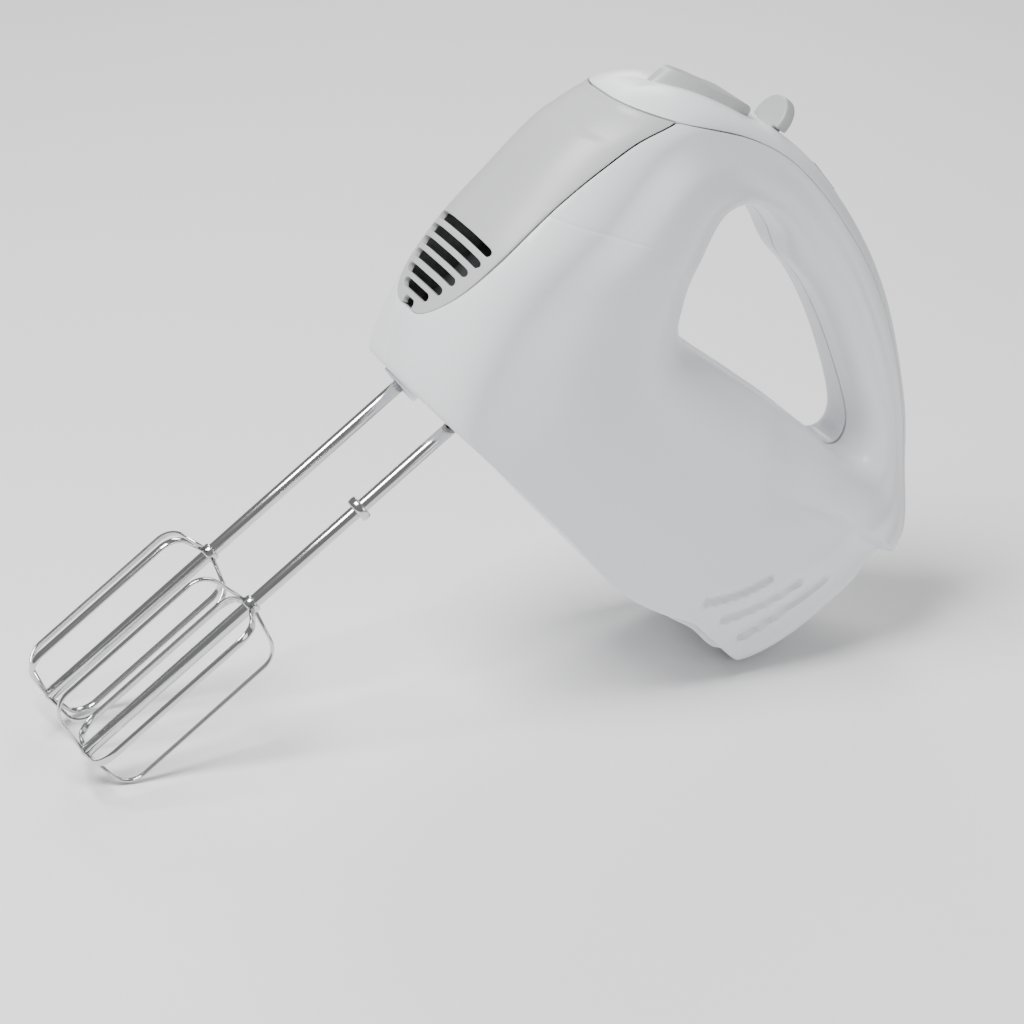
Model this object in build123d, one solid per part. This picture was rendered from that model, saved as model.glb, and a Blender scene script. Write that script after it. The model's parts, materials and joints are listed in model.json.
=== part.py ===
"""Twin-beater electric hand mixer, built as separate pieces.

The pieces are drawn in the mixer's own drafting frame: X runs from the nose (-X) to the
tail (+X), Y from the left side (-Y) to the right side (+Y), Z up, and the beaters hang
along -Z below the origin.  On export everything is tipped by REST_TILT about Y, so that
the written parts stand as the mixer rests on a table: on its heel and its beater tips.
All sizes are in millimetres.
"""

from build123d import *
from build123d.topology import SkipClean
from math import cos, pi, radians, sin, sqrt
import os

# ---------------------------------------------------------------- driving dimensions
WALL = 2.4                 # housing wall
HALF_WIDTH = 39.0          # widest half width of the motor housing
HANDLE_HALF_WIDTH = 18.0   # half width of the handle bar
BODY_LENGTH_SCALE = 1.0    # stretches the side outline lengthwise, about the beater plane
BODY_HEIGHT_SCALE = 1.0    # stretches the side outline upwards, from the base
REST_TILT = 53.0           # degrees the mixer leans over when put down
JOINT_GAP = 0.4            # gap round buttons and other loose covers
SEAM_GAP = 0.02            # half the gap between the two shells
TOUCH = 0.05               # radial clearance of every running fit

SPINDLE_PITCH = 40.5       # between the two beater axes
STEM_R = 2.3               # beater stem
SPINDLE_R = 5.0            # outside of the hollow spindles
SPINDLE_BOTTOM = 2.4
SPINDLE_TOP = 57.0
BUSH_R = 7.0               # outside of the spindle bushes
AXIS_Z = 38.0              # height of the motor axis

WHEEL_TEETH = 28
TOOTH = 1.4                # height of the wheel's teeth
WHEEL_WIDTH = 8.0
WORM_R = 6.0               # worm tip radius
WORM_ROOT_R = 4.4
MESH_GAP = 0.65            # between the worm's thread and the wheels' teeth
WHEEL_R = SPINDLE_PITCH / 2 - WORM_R - MESH_GAP
WORM_HALF_LENGTH = 9.0

STEM_TOP = 41.0            # top of a seated beater
BEATER_BOTTOM = -160.0
CAGE_TOP = -87.0           # where the blades leave the stem
CAGE_R = 19.2              # centre of the blades
BLADE_WIDTH = 2.6          # across the radius
BLADE_THICK = 1.3          # along the radius
BLADE_CORNER = 8.0
LEFT_PHASE = -12.7         # how each beater is turned, in degrees
RIGHT_PHASE = 19.2

SHAFT_R = 2.5              # motor shaft
STATOR_FRONT, STATOR_BACK = 43.0, 69.0
STATOR_HALF = 21.5
STATOR_BORE = 14.5
ROTOR_R = 14.0

BLADE_RISE = 3.0           # the cage's ends stand this far back from its tips
EJECT_TRAVEL = 5.0
EJECT_FRONT, EJECT_REAR, EJECT_HALF = -37.0, -6.0, 9.6
LEVER_X, LEVER_Z, LEVER_SLOPE = 7.0, 147.4, 14.6
LEVER_HALF_THICK, LEVER_STEM_HALF, LEVER_HALF = 2.3, 5.2, 8.5
TURBO_FRONT, TURBO_REAR, TURBO_HALF = 27.0, 41.0, 6.0
VENT_HEIGHT = 2.9
VENT_HEIGHTS = [45, 40, 35.2, 30.5, 25.6, 21.2, 16.7]
VENT_HALVES = [20.5, 20, 18.2, 16.2, 13.8, 9.8, 3.8]
GROOVE_WIDTH, GROOVE_DEPTH = 4.4, 1.2
GROOVES = [((112, 28.5), (122, 50)), ((123.8, 29.5), (133.8, 57.5)), ((136.8, 30.5), (143.5, 66))]
BOSS_R, SCREW_R, SCREW_HEAD_R, SCREW_DEPTH = 5.0, 1.5, 2.9, 8.0
SCREW_PLACES = [
    (-30, 74), (-25.5, 15), (24, 68), (118, 34), (122, 80), (150, 44), (148, 92), (100, 129.5),
]
FRAME_POST_R, FRAME_HALF = 2.3, 29.0
BRACKET_X, BRACKET_HALF = 94.0, 16.0
GLAND_R, GLAND_X, GLAND_Z = 7.0, 161.0, 60.0
SOCKET_RING_R = 7.5
FRAME_REACH = 19.0         # gearbox frame, ahead of and behind the spindles
PLATE = 5.0                # thickness of the gearbox frame's two plates
UPPER_PLATE = 47.0         # underside of the upper one
NOSE_ROUND = 29.0
WORM_BUSH_R = 5.0
PIN_TOP = 65.2
YOKE_TOP = 69.5
COIL_OUTER, COIL_END = 19.0, 5.0
ROTOR_SLOTS = 12
COMMUTATOR_R, COMMUTATOR_X = 8.0, 76.0
FAN_R, FAN_X, FAN_BLADES = 18.5, 28.0, 9
REAR_BEARING_R = 6.5
BRUSH_X, BRUSH_BOX, BRUSH_SIZE = 81.0, 4.2, 5.0
BRUSH_START = COMMUTATOR_R + 0.06
EJECT_FLOOR = 117.0
LEVER_RISE, LEVER_HEIGHT, SLIDER_DROP = 0.9, 11.0, 4.6
COLLAR_Z = -40.0
RING_JOINS = (7, 19)       # the two sections where the housing's lofts meet
JOIN_STEPS = (0.15, 0.5)   # extra sections each side of a join, as shares of a step
LEVER_TRAVEL = 10.0
TURBO_TRAVEL = 1.6
CORD_BORE_R = 3.5

# ------------------------------------------------- housing: sections round the hand hole
# Every section runs from a point on the rim of the hand hole (hx, hz) to a point on the
# outer outline (ox, oz).  wh, wm and wo are the half widths beside the hole, half way and
# beside the outline; ah, bh and ao, bo are the rounding's reach along and across there.
HW = HALF_WIDTH
GW = HANDLE_HALF_WIDTH
SECTIONS = [
    # front column, going up
    ((11, 100), (-45.8, 62), HW - 6, HW - 4, HW - 7, 9, 9, 26, 28),
    ((7.5, 110), (-48.6, 83), HW - 8, HW - 6, HW - 9, 9, 9, 24, 26),
    ((9, 118), (-48, 101), HW - 11, HW - 9, HW - 11, 9, 9, 20, 24),
    ((15, 124), (-41, 119.5), HW - 15, HW - 13, HW - 13, 9, 9, 16, 20),
    ((24, 127), (-22, 135.5), GW + 3, GW + 5, GW + 4, 9, 9, 12, 16),
    # handle bar, going back
    ((36, 127.7), (8, 148), GW + 1, GW + 2, GW + 1, 9, 9, 10, 14),
    ((47, 125.3), (32, 152.3), GW, GW + 0.5, GW, 9, 9, 10, 14),
    ((60, 126), (58, 151.8), GW, GW + 0.5, GW, 9, 9, 10, 14),
    ((78, 124), (85, 146.8), GW, GW + 0.5, GW, 9, 9, 10, 14),
    ((95, 120), (109, 137.6), GW, GW + 0.5, GW, 8, 9, 8, 14),
    ((112, 115), (130, 127), GW + 1, GW + 1, GW + 0.5, 8, 9, 8, 14),
    ((123.5, 109), (146.5, 116), GW + 2, GW + 2, GW + 1, 9, 9, 10, 14),
    # tail, going down
    ((125.5, 101.5), (159.5, 105.5), GW + 4, GW + 5, GW + 2, 10, 10, 11, 15),
    ((117, 97.5), (164.5, 96), GW + 7, GW + 10, GW + 4, 12, 12, 11, 16),
    ((106, 96), (163.8, 80), HW - 11, HW - 6, HW - 12, 15, 15, 12, 18),
    ((95, 93.7), (161.5, 56), HW - 8, HW - 3, HW - 9, 18, 18, 12, 18),
    ((85, 91), (156, 29), HW - 6, HW - 1, HW - 8, 21, 21, 12, 18),
    # motor housing, going forward; these reach below the base, which is cut off flat
    ((76, 88.5), (136, 5), HW - 4, HW, HW - 5, 22, 22, 12, 18),
    ((66, 85.5), (105, -5), HW - 4, HW, HW - 3, 22, 22, 10, 14),
    ((55, 82.5), (70, -10), HW - 4, HW, HW - 2, 22, 22, 10, 14),
    ((45, 79.8), (35, -14), HW - 4, HW, HW - 2, 22, 22, 10, 14),
    ((36, 78.3), (5, -17), HW - 4, HW, HW - 3, 20, 20, 14, 18),
    # nose, going up
    ((28, 79.5), (-13, -11), HW - 4, HW - 1, HW - 4, 16, 16, 20, 24),
    ((22, 83.5), (-27, 4), HW - 4, HW - 2, HW - 5, 13, 13, 24, 28),
    ((16.5, 90), (-36.5, 22), HW - 5, HW - 3, HW - 6, 11, 11, 26, 28),
    ((13, 95.5), (-42.3, 42), HW - 5, HW - 3, HW - 6, 10, 10, 26, 28),
]

# The base line, from the nose to the heel, with the step up before the heel.
BASE_LINE = [
    (-60, -5.5), (-24, -3), (6, 0.6), (50, 5), (93, 9.4), (104, 13.6),
    (117, 19.9), (128, 21.2), (142, 22.9), (175, 26.9),
]
# Side view of the seams: the front cover's rear edge, bottom to top, then the top
# cover's lower edge from the same corner back to the tail.
FRONT_SEAM = [
    (-33.0, 11), (-34.2, 20), (-35.2, 30), (-36.9, 45), (-38.2, 60),
    (-38.9, 75), (-38.6, 90), (-36.8, 105), (-32.5, 118.5),
]
TONGUE_TIP = (-45.0, 109.5)
TOP_SEAM = [
    (-32.5, 118.5), (-20, 127.5), (-8.4, 135), (10, 142.9), (31, 146.2), (48, 146.4),
    (66, 145.2), (94, 138.4), (109, 132), (130, 121), (146, 110.5), (156, 102), (162.5, 94),
]


def side(x, z):
    """A side-view point, stretched with the body."""
    return x * BODY_LENGTH_SCALE, z * BODY_HEIGHT_SCALE


def base_z(x):
    """Height of the base line at x."""
    points = [side(*p) for p in BASE_LINE]
    for (x0, z0), (x1, z1) in zip(points, points[1:]):
        if x0 <= x <= x1:
            return z0 + (z1 - z0) * (x - x0) / (x1 - x0)
    return points[-1][1]


def follow(x, z):
    """How far a side-view point moves when the body is stretched."""
    moved = side(x, z)
    return Location((moved[0] - x, 0, moved[1] - z))


def bar(radius, start, end):
    """A round bar between two points."""
    axis = Vector(*end) - Vector(*start)
    return Solid.make_cylinder(radius, axis.length, Plane(origin=start, z_dir=axis))


def tube(outer, inner, start, end):
    return bar(outer, start, end) - bar(inner, start, end)


def block(x0, x1, y0, y1, z0, z1):
    return Solid.make_box(x1 - x0, y1 - y0, z1 - z0, Plane(origin=(x0, y0, z0)))


def side_prism(points, y0=-70.0, y1=70.0, smooth=()):
    """A side-view outline, extruded across the mixer from y0 to y1.

    smooth lists (first, last) runs of points that are joined by one spline."""
    corners = [Vector(x, y0, z) for x, z in points]
    edges = []
    index = 0
    runs = dict(smooth)
    count = len(corners)
    while index < count:
        if index in runs:
            edges.append(Edge.make_spline(corners[index:runs[index] + 1]))
            index = runs[index]
        else:
            edges.append(Edge.make_line(corners[index], corners[(index + 1) % count]))
            index += 1
        if index == count - 1 and index not in runs:
            edges.append(Edge.make_line(corners[index], corners[0]))
            break
    face = Face(Wire(edges))
    return Solid.extrude(face, Vector(0, y1 - y0, 0))


# ------------------------------------------------------------------------- housing
def offset_points(points, distance, partners):
    """Draws a ring of points in by distance, each along the line to its partner."""
    moved = []
    count = len(points)
    for i in range(count):
        tangent = Vector(*points[(i + 1) % count]) - Vector(*points[i - 1])
        normal = Vector(-tangent.Y, tangent.X).normalized()
        along = (Vector(*partners[i]) - Vector(*points[i])).normalized()
        shift = distance / max(abs(normal.dot(along)), 0.4)
        moved.append((points[i][0] + along.X * shift, points[i][1] + along.Y * shift))
    return moved


def flank_edges(hole, rim, sizes, side_sign):
    """The rounded flank of one section, from the hand hole's wall out to the rim's wall."""
    wh, wm, wo, ah, bh, ao, bo = sizes
    start = Vector(hole[0], 0, hole[1])
    along = Vector(rim[0], 0, rim[1]) - start
    length = along.length
    along = along.normalized()

    def point(reach, half):
        return start + along * reach + Vector(0, side_sign * half, 0)

    quarter = [1.0, sqrt(0.5), 1.0]
    return [
        Edge.make_bezier(point(0, wh - bh), point(0, wh), point(ah, wh), weights=quarter),
        Edge.make_spline(
            [point(ah, wh), point(0.5 * (length + ah - ao), wm), point(length - ao, wo)],
            tangents=[along, along],
        ),
        Edge.make_bezier(
            point(length - ao, wo), point(length, wo), point(length, wo - bo), weights=quarter
        ),
    ]


def between(step):
    """The section at a fractional place in the table, on a smooth curve through its rows."""
    count = len(SECTIONS)
    first = int(step // 1)
    t = step - first
    weights = [
        -0.5 * t + t ** 2 - 0.5 * t ** 3, 1 - 2.5 * t ** 2 + 1.5 * t ** 3,
        0.5 * t + 2 * t ** 2 - 1.5 * t ** 3, -0.5 * t ** 2 + 0.5 * t ** 3,
    ]
    rows = [SECTIONS[(first + k) % count] for k in (-1, 0, 1, 2)]
    flat = [row[0] + row[1] + row[2:] for row in rows]
    values = [sum(w * row[i] for w, row in zip(weights, flat)) for i in range(len(flat[0]))]
    return (values[0:2], values[2:4], *values[4:])


def all_sections():
    """The table's rows, with extra ones beside the joins that hold the lofts' ends smooth.

    Returns the sections, and where the two joins now stand among them."""
    sections, joins = [], []
    for index, row in enumerate(SECTIONS):
        if index in RING_JOINS:
            sections += [between(index - step) for step in reversed(JOIN_STEPS)]
            joins.append(len(sections))
            sections.append(row)
            sections += [between(index + step) for step in JOIN_STEPS]
        else:
            sections.append(row)
    return sections, joins


def outline_rings(sections, inset):
    """Hand hole and outer outline, both drawn in by inset."""
    holes = [side(*s[0]) for s in sections]
    rims = [side(*s[1]) for s in sections]
    return offset_points(holes, inset, rims), offset_points(rims, inset, holes)


def section_paths(sections, inset, whole):
    """For every section, the open chain of edges at this inset.

    A half chain runs from the plane y = 0 at the hand hole, round the left flank and back
    to y = 0 at the rim.  A whole one runs from the left flank across the rim to the right."""
    chains = []
    for hole, rim, section in zip(*outline_rings(sections, inset), sections):
        sizes = [value - inset for value in section[2:]]
        left = flank_edges(hole, rim, sizes, -1)
        if whole:
            right = flank_edges(hole, rim, sizes, 1)
            across = Edge.make_line(left[2].position_at(1), right[2].position_at(1))
            chains.append(
                ([left[1], left[2], across, right[2], right[1]],
                 left[1].position_at(0), right[1].position_at(0))
            )
        else:
            start, end = Vector(hole[0], 0, hole[1]), Vector(rim[0], 0, rim[1])
            chains.append(
                ([Edge.make_line(start, left[0].position_at(0)), *left,
                  Edge.make_line(left[2].position_at(1), end)], start, end)
            )
    return chains


def wall_wires(sections, whole):
    """Closed sections of the housing's wall."""
    wires = []
    for outer, inner in zip(section_paths(sections, 0, whole),
                            section_paths(sections, WALL, whole)):
        caps = [Edge.make_line(outer[1], inner[1]), Edge.make_line(outer[2], inner[2])]
        wires.append(Wire(outer[0] + inner[0] + caps))
    return wires


def solid_wires(sections, inset):
    """Closed sections of the left half of the body as a solid, drawn in by inset."""
    return [
        Wire(edges + [Edge.make_line(start, end)])
        for edges, start, end in section_paths(sections, inset, False)
    ]


def ring(wires, joins):
    """Lofts closed sections right round the hand hole, as one solid.

    The two arcs of the loft share their end sections, whose faces are left out."""
    first, last = joins
    arcs = [
        Solid.make_loft(wires[first:last + 1]),
        Solid.make_loft(wires[last:] + wires[:first + 1]),
    ]
    skins = [face for arc in arcs for face in arc.faces() if face.geom_type != GeomType.PLANE]
    return Solid(Shell(skins))


def rim_wall(first, last):
    """The housing's wall across its whole width, along a run of sections."""
    wires = wall_wires(SECTIONS, True)
    count = len(wires)
    run = range(first, last + 1 if last > first else last + 1 + count)
    return Solid.make_loft([wires[i % count] for i in run])


def below_base(lift):
    """Everything under the base line, raised by lift."""
    line = [(side(*p)[0], side(*p)[1] + lift) for p in BASE_LINE]
    return side_prism(line + [(line[-1][0], -80), (line[0][0], -80)])


def floor_level():
    """Height of the table in the drafting frame's tipped axes, under the beater cages."""
    cages = [beater_blades(0, phase) for phase in (LEFT_PHASE, RIGHT_PHASE)]
    tipped = [cage.moved(Location((0, 0, 0), (0, REST_TILT, 0))) for cage in cages]
    return min(cage.bounding_box().min.Z for cage in tipped)


def below_floor():
    """Everything under the table, in the drafting frame."""
    up = Vector(-sin(radians(REST_TILT)), 0, cos(radians(REST_TILT)))
    plane = Plane(origin=up * floor_level(), x_dir=(0, 1, 0), z_dir=-up)
    return Solid.make_box(400, 400, 60, plane.offset(0)).moved(
        Location(plane.x_dir * -200 + plane.y_dir * -200)
    )


def mirrored(shape):
    return shape.mirror(Plane.XZ)


def front_region():
    """Side view of everything ahead of the front cover's seam."""
    seam = [side(*p) for p in FRONT_SEAM]
    tip = side(*TONGUE_TIP)
    outline = seam + [tip, (tip[0] - 30, tip[1] - 21), (tip[0] - 30, seam[0][1] - 4),
                      (seam[0][0] - 4, seam[0][1] - 4)]
    return side_prism(outline, smooth=[(0, len(seam) - 1)])


def top_region():
    """Side view of everything above the top cover's seam."""
    seam = [side(*p) for p in TOP_SEAM]
    tip = side(*TONGUE_TIP)
    far = seam[-1]
    outline = seam + [(far[0] + 12, far[1] - 9), (far[0] + 12, 220), (tip[0] - 20, 220),
                      (tip[0] - 20, tip[1] - 14.4), tip]
    return side_prism(outline, smooth=[(0, len(seam) - 1)])


def groove(start, end):
    """Side view of one slanted air groove, as a prism on the left."""
    run = Vector(end[0] - start[0], 0, end[1] - start[1])
    plane = Plane(origin=(start[0], -70, start[1]), x_dir=run, z_dir=(0, 1, 0))
    length = run.length
    shape = Solid.make_box(length, GROOVE_WIDTH, 60, plane).moved(
        Location(plane.y_dir * (-GROOVE_WIDTH / 2))
    )
    for x, z in (start, end):
        shape = shape.fuse(bar(GROOVE_WIDTH / 2, (x, -70, z), (x, -10, z)))
    return shape


def posts():
    """Solid columns inside the left shell: screw bosses and rests for the works."""
    columns = [bar(BOSS_R, (x, -60, z), (x, 0, z)) for x, z in screw_places()]
    for low in (lower_plate(), UPPER_PLATE):
        z = low + PLATE / 2
        columns.append(bar(FRAME_POST_R, (0, -60, z), (0, -FRAME_HALF, z)))
    for x in (STATOR_FRONT + 5, STATOR_BACK - 5):
        for z in (AXIS_Z - 12, AXIS_Z + 12):
            columns.append(bar(3, (x, -60, z), (x, -STATOR_HALF, z)))
    for z in (AXIS_Z - 9, AXIS_Z + 9):
        columns.append(bar(1.8, (BRACKET_X + 2, -60, z), (BRACKET_X + 2, -BRACKET_HALF, z)))
    return columns


def screw_places():
    return [side(*p) for p in SCREW_PLACES]


def lower_plate():
    """Underside of the gearbox frame's lower plate, just above the housing's floor."""
    return base_z(FRAME_REACH + 0.5) + WALL + 0.1


def vent_slots():
    """The front cover's oval slots, which shorten towards its tip."""
    slots = []
    for z, half in zip(VENT_HEIGHTS, VENT_HALVES):
        x, z = side(-70, z)
        ends = half - VENT_HEIGHT / 2
        shape = block(x, x + 60, -ends, ends, z - VENT_HEIGHT / 2, z + VENT_HEIGHT / 2)
        for y in (-ends, ends):
            shape = shape.fuse(bar(VENT_HEIGHT / 2, (x, y, z), (x + 60, y, z)))
        slots.append(shape)
    return slots


def button_plan(extra, z0, z1):
    """Leaf-shaped column of the eject button, widest at the back."""
    tip = side(EJECT_FRONT, 0)[0] - extra
    rear = side(EJECT_REAR, 0)[0] + extra
    half = EJECT_HALF + extra
    length = rear - tip
    edge = [
        (rear, half * 0.8), (rear - 0.07 * length, half * 0.97), (rear - 0.35 * length, half),
        (tip + 0.25 * length, half * 0.72), (tip, 0),
    ]
    points = [Vector(x, -y, z0) for x, y in edge] + [
        Vector(x, y, z0) for x, y in reversed(edge[:-1])
    ]
    face = Face(Wire([Edge.make_spline(points), Edge.make_line(points[-1], points[0])]))
    return Solid.extrude(face, Vector(0, 0, z1 - z0))


def lever_frame():
    """Plane of the speed lever: x along its travel, z out of the cover."""
    x, z = side(LEVER_X, LEVER_Z)
    return Plane(
        origin=(x, 0, z),
        x_dir=(cos(radians(LEVER_SLOPE)), 0, sin(radians(LEVER_SLOPE))),
        z_dir=(-sin(radians(LEVER_SLOPE)), 0, cos(radians(LEVER_SLOPE))),
    )


def lever_block(u0, u1, half, v0, v1):
    plane = lever_frame()
    shape = Solid.make_box(u1 - u0, 2 * half, v1 - v0)
    return shape.moved(Location((u0, -half, v0))).moved(plane.location)


def housing():
    """The two shells, the top cover and the front cover."""
    sections, joins = all_sections()
    core = ring(solid_wires(sections, WALL / 2), joins)
    deep = ring(solid_wires(sections, GROOVE_DEPTH), joins)
    left = ring(wall_wires(sections, False), joins) - below_base(0)
    floor = (below_base(WALL) - below_base(0)) & core
    left = left.fuse(floor)
    left = left - below_floor()
    for column in posts():
        left = left.fuse(column & core)
    for start, end in GROOVES:
        left = left - (groove(side(*start), side(*end)) - deep)
    front, top = front_region(), top_region()
    left = left - front - top - block(-200, 300, -SEAM_GAP, 10, -100, 300)
    right = mirrored(left)
    front_cover = rim_wall(22, 4) & front
    front_cover = front_cover - top
    top_cover = rim_wall(2, 14) & top

    gland_hole = bar(GLAND_R, (-30, 0, 0), (30, 0, 0)).moved(gland_place())
    for x, z in screw_places():
        left = left - bar(SCREW_R, (x, -SCREW_DEPTH - 2, z), (x, 5, z))
        right = right - bar(SCREW_R, (x, -5, z), (x, 60, z))
        right = right - bar(SCREW_HEAD_R + 0.3, (x, SCREW_DEPTH, z), (x, 60, z))
    y = SPINDLE_PITCH / 2
    left = left - gland_hole - bar(SPINDLE_R + 0.8, (0, -y, -30), (0, -y, 20))
    right = right - gland_hole - bar(SOCKET_RING_R, (0, y, -30), (0, y, 20))
    for slot in vent_slots():
        front_cover = front_cover - slot
    top_cover = top_cover - button_plan(JOINT_GAP, 80, 200)
    top_cover = top_cover - lever_block(
        -LEVER_HALF_THICK - JOINT_GAP, LEVER_TRAVEL + LEVER_HALF_THICK + JOINT_GAP,
        LEVER_STEM_HALF + JOINT_GAP, -8, 12,
    )
    turbo_hole = block(
        TURBO_FRONT - JOINT_GAP, TURBO_REAR + JOINT_GAP,
        -TURBO_HALF - JOINT_GAP, TURBO_HALF + JOINT_GAP, 135, 170,
    )
    top_cover = top_cover - turbo_hole.moved(turbo_place())
    return left, right, top_cover, front_cover


def socket_ring():
    """Raised ring round the right-hand socket, which takes the beater without a collar."""
    y = SPINDLE_PITCH / 2
    return tube(SOCKET_RING_R, SPINDLE_R + 0.8, (0, y, -2.2), (0, y, WALL))


def gland_place():
    x, z = side(GLAND_X, GLAND_Z)
    return Location((x, 0, z))


def cord_gland():
    """Grommet in the tail, with its inner flange and the bore for the mains cord."""
    neck = bar(GLAND_R, (-8, 0, 0), (3, 0, 0))
    flange = bar(GLAND_R + 2.5, (-8, 0, 0), (-5, 0, 0))
    gland = neck.fuse(flange) - bar(CORD_BORE_R, (-20, 0, 0), (20, 0, 0))
    return gland.moved(gland_place())


def housing_screws():
    screws = []
    for x, z in screw_places():
        shank = bar(SCREW_R, (x, -SCREW_DEPTH, z), (x, SCREW_DEPTH, z))
        head = bar(SCREW_HEAD_R, (x, SCREW_DEPTH, z), (x, SCREW_DEPTH + 2, z))
        cross = block(x - 0.4, x + 0.4, SCREW_DEPTH + 1, SCREW_DEPTH + 3, z - 1.7, z + 1.7)
        slot = block(x - 1.7, x + 1.7, SCREW_DEPTH + 1, SCREW_DEPTH + 3, z - 0.4, z + 0.4)
        screws.append(shank.fuse(head) - cross - slot)
    return Compound(screws)


# ------------------------------------------------------------------------ the gearbox
def gearbox_frame():
    """Box-shaped cradle: two plates for the spindle bushes, two walls for the worm."""
    half, x0, x1 = FRAME_HALF, -FRAME_REACH, FRAME_REACH + 0.5
    low, high = lower_plate(), UPPER_PLATE
    frame = block(x0, x1, -half, half, low, low + PLATE)
    frame = frame.fuse(block(x0, x1, -half, half, high, high + PLATE))
    frame = frame.fuse(block(x0, x0 + 3, -half, half, low + PLATE, high))
    frame = frame.fuse(block(x1 - 3.5, x1, -half, half, low + PLATE, high))
    for y in (-SPINDLE_PITCH / 2, SPINDLE_PITCH / 2):
        frame = frame - bar(BUSH_R, (0, y, 0), (0, y, 80))
    frame = frame - bar(WORM_BUSH_R, (-40, 0, AXIS_Z), (40, 0, AXIS_Z))
    nose = bar(NOSE_ROUND, (0, 0, 0), (0, 0, 80)) + block(0, 40, -40, 40, 0, 80)
    return frame & nose


def spindle_bushes():
    bushes = []
    for y in (-SPINDLE_PITCH / 2, SPINDLE_PITCH / 2):
        for low in (lower_plate(), UPPER_PLATE):
            bushes.append(tube(BUSH_R, SPINDLE_R + TOUCH, (0, y, low), (0, y, low + PLATE)))
    return Compound(bushes)


def worm_bushes():
    x0, x1 = -FRAME_REACH, FRAME_REACH + 0.5
    return Compound([
        tube(WORM_BUSH_R, SHAFT_R + TOUCH, (x0, 0, AXIS_Z), (x0 + 3, 0, AXIS_Z)),
        tube(WORM_BUSH_R, SHAFT_R + TOUCH, (x1 - 3.5, 0, AXIS_Z), (x1, 0, AXIS_Z)),
    ])


def spindle(y):
    """Hollow drive spindle; a beater's stem plugs in from below."""
    return tube(SPINDLE_R, STEM_R + TOUCH, (0, y, SPINDLE_BOTTOM), (0, y, SPINDLE_TOP))


def worm_wheel(y):
    """Wheel with straight-flanked teeth, pressed on its spindle."""
    pitch = 2 * pi / WHEEL_TEETH
    root = WHEEL_R - TOOTH
    profile = [(-0.26, root), (-0.13, WHEEL_R), (0.13, WHEEL_R), (0.26, root)]
    points = []
    for tooth in range(WHEEL_TEETH):
        for turn, radius in profile:
            angle = (tooth + turn) * pitch
            points.append((radius * cos(angle), y + radius * sin(angle)))
    face = Face(Wire.make_polygon([Vector(a, b, AXIS_Z - WHEEL_WIDTH / 2) for a, b in points]))
    wheel = Solid.extrude(face, Vector(0, 0, WHEEL_WIDTH))
    return wheel - bar(SPINDLE_R, (0, y, 0), (0, y, 80))


def ejector_pin(y):
    """Loose pin inside a spindle, which passes the eject button's push to the beater."""
    shank = bar(STEM_R - 0.02, (0, y, STEM_TOP + 0.3), (0, y, PIN_TOP - 2))
    head = bar(STEM_R + 1.3, (0, y, PIN_TOP - 2), (0, y, PIN_TOP))
    return shank.fuse(head)


# -------------------------------------------------------------------------- the motor
def motor_shaft():
    return bar(SHAFT_R, (-FRAME_REACH + 0.5, 0, AXIS_Z), (BRACKET_X + 5.5, 0, AXIS_Z))


def worm():
    """Two-start worm on the shaft, between the wheels."""
    ends = (-WORM_HALF_LENGTH, 0, AXIS_Z), (WORM_HALF_LENGTH, 0, AXIS_Z)
    body = bar(WORM_ROOT_R, *ends)
    lead = 2 * pi
    depth = WORM_R - WORM_ROOT_R
    for start in (0, 180):
        helix = Edge.make_helix(lead, 2 * WORM_HALF_LENGTH - 3, WORM_ROOT_R - 0.3)
        frame = Plane(origin=helix.position_at(0), x_dir=(1, 0, 0), z_dir=helix.tangent_at(0))
        tooth = Wire.make_polygon([
            frame.from_local_coords(Vector(*p))
            for p in ((0, -1), (depth + 0.3, -0.5), (depth + 0.3, 0.5), (0, 1))
        ])
        thread = Solid.sweep(tooth, path=helix, is_frenet=True)
        place = Location((-WORM_HALF_LENGTH + 1.5, 0, AXIS_Z), (0, 90, 0))
        body = body.fuse(thread.moved(place * Location((0, 0, 0), (0, 0, start))))
    return body - bar(SHAFT_R, (-40, 0, AXIS_Z), (40, 0, AXIS_Z))


def ring_sector(inner, outer, x0, x1, centre, spread):
    """Part of a tube round the motor axis, spread degrees each side of centre."""
    sector = Face(Wire([
        Edge.make_line(point_round(inner, centre - spread, x0),
                       point_round(outer, centre - spread, x0)),
        Edge.make_three_point_arc(point_round(outer, centre - spread, x0),
                                  point_round(outer, centre, x0),
                                  point_round(outer, centre + spread, x0)),
        Edge.make_line(point_round(outer, centre + spread, x0),
                       point_round(inner, centre + spread, x0)),
        Edge.make_three_point_arc(point_round(inner, centre + spread, x0),
                                  point_round(inner, centre, x0),
                                  point_round(inner, centre - spread, x0)),
    ]))
    return Solid.extrude(sector, Vector(x1 - x0, 0, 0))


def point_round(radius, angle, x):
    """A point round the motor axis, angle in degrees from straight up."""
    turn = radians(angle)
    return Vector(x, radius * sin(turn), AXIS_Z + radius * cos(turn))


def stator_core():
    """Square laminated stack with the rotor's bore and pockets for the field coils."""
    half = STATOR_HALF
    core = block(STATOR_FRONT, STATOR_BACK, -half, half, AXIS_Z - half, AXIS_Z + half)
    core = core - bar(STATOR_BORE, (0, 0, AXIS_Z), (100, 0, AXIS_Z))
    for centre in (0, 180):
        for sign in (-1, 1):
            core = core - ring_sector(STATOR_BORE - 1, COIL_OUTER, STATOR_FRONT - 1,
                                      STATOR_BACK + 1, centre + sign * 52, 12)
    return core


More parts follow.
